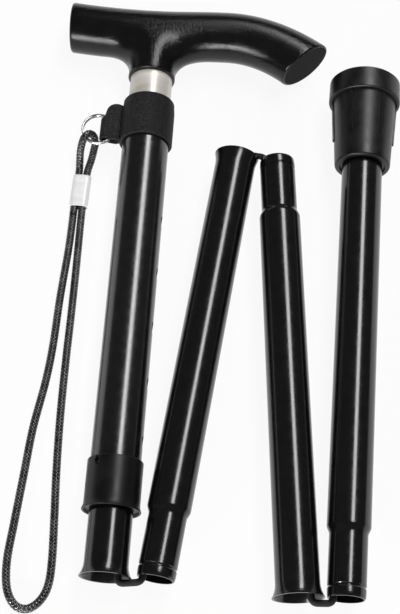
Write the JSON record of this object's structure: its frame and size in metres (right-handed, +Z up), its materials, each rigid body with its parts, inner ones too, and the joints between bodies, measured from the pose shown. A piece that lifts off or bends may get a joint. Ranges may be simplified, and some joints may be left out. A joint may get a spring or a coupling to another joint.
{
  "type": "folding cane",
  "caption": "Folding walking cane, folded flat: T-shaped grip, telescoping upper tube with snap-button height holes, tube sections on an elastic cord, wrist strap and rubber tip.",
  "frame": {"origin": "centre of the folded cane's footprint, on the surface it lies on (wrist cord left out)", "axes": "+X across the folded sections from the handle section to the tip section, +Y along the sections towards the handle, +Z up off the surface"},
  "size_m": [0.1819, 0.302, 0.0344],
  "materials": {
    "grip": "satin black, fine grain",
    "stem": "turned",
    "polished": "polished",
    "tube": "gloss black coating",
    "webbing": "woven black",
    "sleeve": "bright",
    "braid": "braided black",
    "collar": "semi-gloss black",
    "bush": "white",
    "steel": "plain",
    "anchor": "black",
    "elastic": "woven cover",
    "foot": "semi-gloss black"
  },
  "bodies": {
    "upper": {"handle": "grip", "handle_stem": "stem", "ferrule": "polished", "handle_rivet": "polished", "upper_tube": "tube", "strap_band": "webbing", "crimp_sleeve": "sleeve", "wrist_cord": "braid"},
    "ring": {"split_ring": "polished"},
    "collar": {"locking_collar": "collar"},
    "inner": {"inner_tube": "tube", "glide_bush": "bush", "button_spring": "steel", "upper_anchor": "anchor", "upper_knot": "elastic", "cord_upper": "elastic"},
    "button": {"snap_button": "steel"},
    "link_ab": {"bend_ab": "elastic"},
    "core_ab": {"lead_ab": "elastic"},
    "link_ba": {"bend_ba": "elastic"},
    "second": {"second_tube": "tube", "cord_second": "elastic"},
    "core_bc": {"lead_bc": "elastic"},
    "link_bc": {"bend_bc": "elastic"},
    "third": {"third_tube": "tube", "cord_third": "elastic"},
    "link_cb": {"bend_cb": "elastic"},
    "core_cd": {"lead_cd": "elastic"},
    "link_cd": {"bend_cd": "elastic"},
    "bottom": {"bottom_tube": "tube", "cord_bottom": "elastic", "lower_anchor": "anchor", "lower_knot": "elastic", "tip_washer": "steel", "rubber_tip": "foot"},
    "link_dc": {"bend_dc": "elastic"}
  },
  "joints": [
    {"name": "ring_spin", "type": "hinge", "parent": "upper", "child": "ring", "pos_m": [-0.06563, 0.07916, 0.0172], "axis": [0, 0, 1], "continuous": true},
    {"name": "collar_slide", "type": "slide", "parent": "upper", "child": "collar", "axis": [-0.0645, -0.9979, 0], "range_m": [0, 0.016]},
    {"name": "height_adjust", "type": "slide", "parent": "upper", "child": "inner", "axis": [-0.0645, -0.9979, 0], "range_m": [0, 0.108]},
    {"name": "button_press", "type": "slide", "parent": "inner", "child": "button", "axis": [0.9979, -0.0645, 0], "range_m": [0, 0.004], "stiffness_N_per_m": 300, "springref_m": 0.005, "deforming": ["button_spring"]},
    {"name": "fold_ab", "type": "hinge", "parent": "inner", "child": "core_ab", "pos_m": [-0.046, -0.14064, 0.0172], "axis": [0, 0, -1], "range_deg": [0, 173.6], "deforming": ["bend_ab", "bend_ba"]},
    {"name": "bend_ab_turn", "type": "hinge", "parent": "inner", "child": "link_ab", "pos_m": [-0.05105, -0.14094, 0.0172], "axis": [0, 0, -1], "range_deg": [0, 97.2], "deforming": ["bend_ab"]},
    {"name": "bend_ba_turn", "type": "hinge", "parent": "core_ab", "child": "link_ba", "pos_m": [-0.04084, -0.14032, 0.0172], "axis": [0, 0, 1], "range_deg": [0, 76.4], "deforming": ["bend_ba"]},
    {"name": "engage_ab", "type": "slide", "parent": "core_ab", "child": "second", "axis": [-0.1754, -0.9845, 0], "range_m": [0, 0.03498], "deforming": ["lead_ab", "bend_ba"]},
    {"name": "engage_bc", "type": "slide", "parent": "second", "child": "core_bc", "axis": [-0.1754, -0.9845, 0], "range_m": [0, 0.0352], "deforming": ["lead_bc", "bend_bc"]},
    {"name": "fold_bc", "type": "hinge", "parent": "core_bc", "child": "third", "pos_m": [0.01068, 0.06427, 0.0172], "axis": [0, 0, 1], "range_deg": [0, 168.8], "deforming": ["bend_bc", "bend_cb"]},
    {"name": "bend_bc_turn", "type": "hinge", "parent": "core_bc", "child": "link_bc", "pos_m": [0.00669, 0.06493, 0.0172], "axis": [0, 0, 1], "range_deg": [0, 89.22], "deforming": ["bend_bc"]},
    {"name": "bend_cb_turn", "type": "hinge", "parent": "third", "child": "link_cb", "pos_m": [0.01474, 0.0636, 0.0172], "axis": [0, 0, -1], "range_deg": [0, 79.58], "deforming": ["bend_cb"]},
    {"name": "engage_cd", "type": "slide", "parent": "third", "child": "core_cd", "axis": [-0.0192, 0.9998, 0], "range_m": [0, 0.03484], "deforming": ["lead_cd", "bend_cd"]},
    {"name": "fold_cd", "type": "hinge", "parent": "core_cd", "child": "bottom", "pos_m": [0.03408, -0.14913, 0.0172], "axis": [0, 0, -1], "range_deg": [0, 174.3], "deforming": ["bend_cd", "bend_dc"]},
    {"name": "bend_cd_turn", "type": "hinge", "parent": "core_cd", "child": "link_cd", "pos_m": [0.02963, -0.14905, 0.0172], "axis": [0, 0, -1], "range_deg": [0, 87.84], "deforming": ["bend_cd"]},
    {"name": "bend_dc_turn", "type": "hinge", "parent": "bottom", "child": "link_dc", "pos_m": [0.03853, -0.14921, 0.0172], "axis": [0, 0, 1], "range_deg": [0, 86.45], "deforming": ["bend_dc"]}
  ],
  "couplings": [
    {"joint": "bend_ab_turn", "follows": "fold_ab", "ratio": 0.55993},
    {"joint": "bend_ba_turn", "follows": "fold_ab", "ratio": 0.44007},
    {"joint": "fold_bc", "follows": "fold_ab", "ratio": 0.97235},
    {"joint": "bend_bc_turn", "follows": "fold_ab", "ratio": 0.51397},
    {"joint": "bend_cb_turn", "follows": "fold_ab", "ratio": 0.45838},
    {"joint": "fold_cd", "follows": "fold_ab", "ratio": 1.004},
    {"joint": "bend_cd_turn", "follows": "fold_ab", "ratio": 0.50602},
    {"joint": "bend_dc_turn", "follows": "fold_ab", "ratio": 0.49801},
    {"joint": "engage_bc", "follows": "engage_ab", "ratio": 1.0063},
    {"joint": "engage_cd", "follows": "engage_ab", "ratio": 0.99606}
  ]
}
